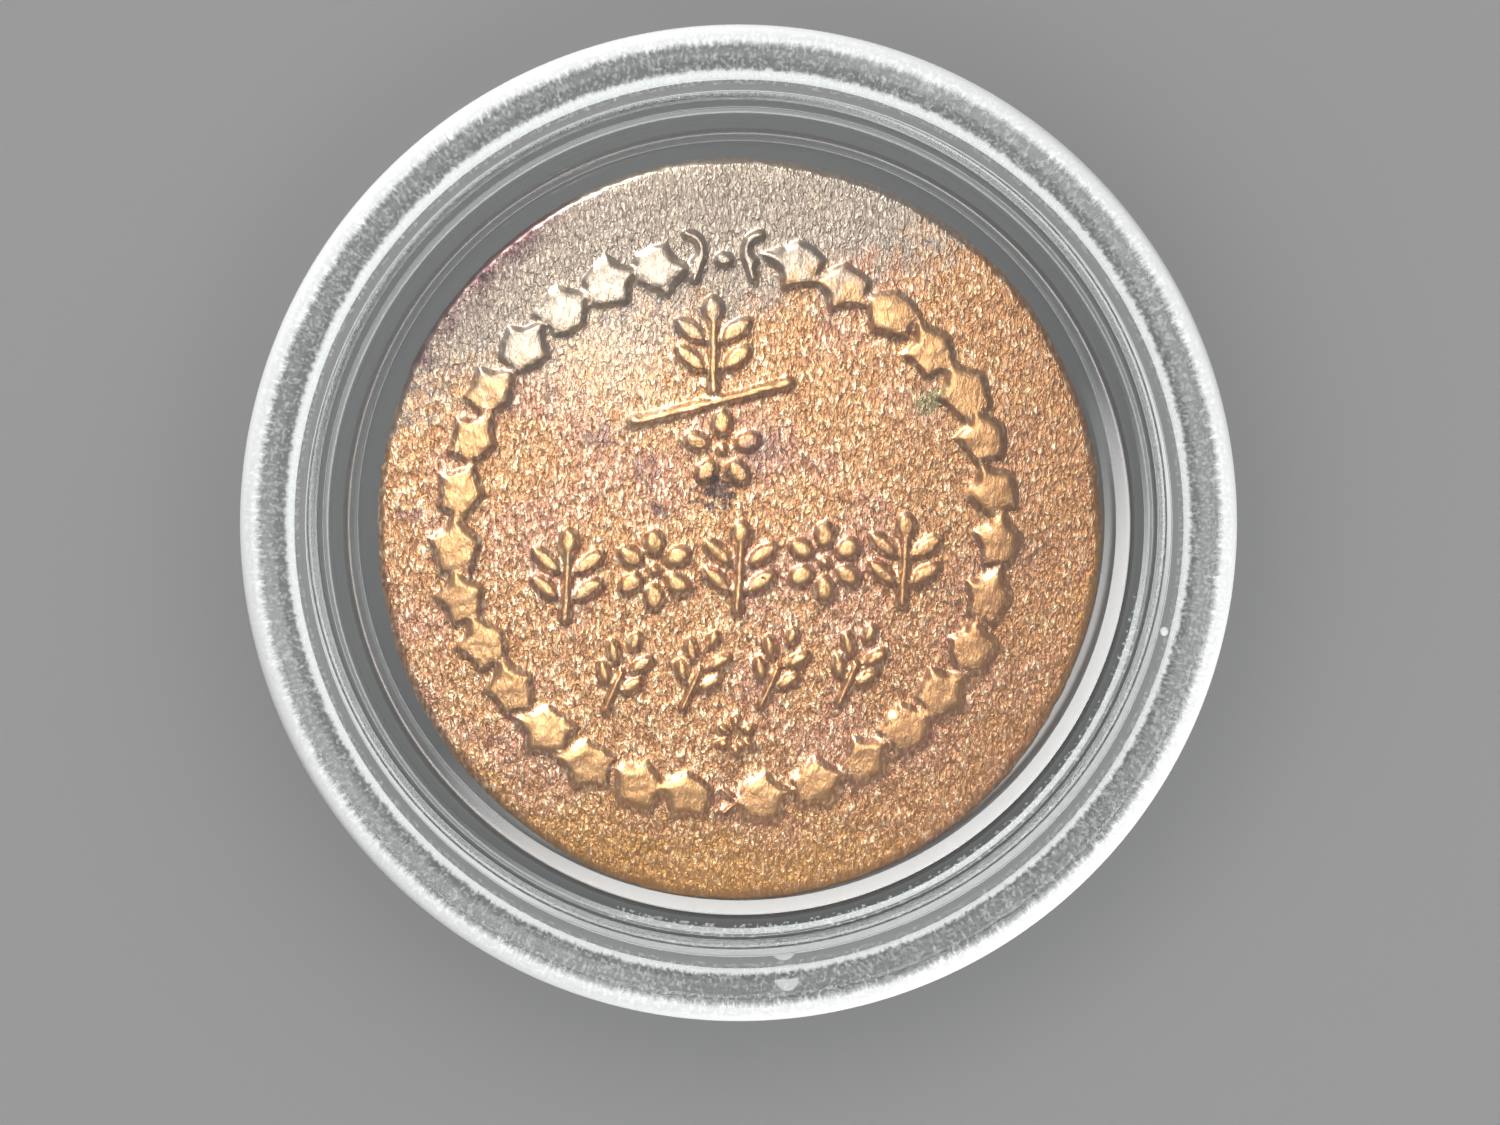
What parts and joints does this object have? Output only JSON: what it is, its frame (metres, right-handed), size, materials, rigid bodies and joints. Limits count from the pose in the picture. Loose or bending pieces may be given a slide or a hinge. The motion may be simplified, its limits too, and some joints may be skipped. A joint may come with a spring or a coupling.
{
  "type": "coin capsule",
  "caption": "Round clear press-together capsule in two flanged shells with recessed windows, holding one struck copper coin in its pocket.",
  "frame": {"origin": "on the capsule's axis, at the underside of the back shell's raised rim", "axes": "+Z along the capsule's axis, out of the front window; +Y towards the top of the coin's design"},
  "size_m": [0.028, 0.028, 0.0062],
  "materials": {
    "clear_shell": "injection-moulded crystal-clear polystyrene, polished windows, fine scuffs on the flanges",
    "coin_metal": "struck copper, worn and granular, with silvery and dark patina"
  },
  "bodies": {
    "base": {"back_shell": "clear_shell"},
    "lid": {"front_shell": "clear_shell"},
    "coin": {"coin": "coin_metal"}
  },
  "joints": [
    {"name": "lid_lift", "type": "slide", "parent": "base", "child": "lid", "axis": [0, 0, 1], "range_m": [0, 0.024]},
    {"name": "coin_lift", "type": "slide", "parent": "base", "child": "coin", "axis": [0, 0, 1], "range_m": [0, 0.012]}
  ],
  "couplings": [
    {"joint": "coin_lift", "follows": "lid_lift", "ratio": 0.5}
  ]
}
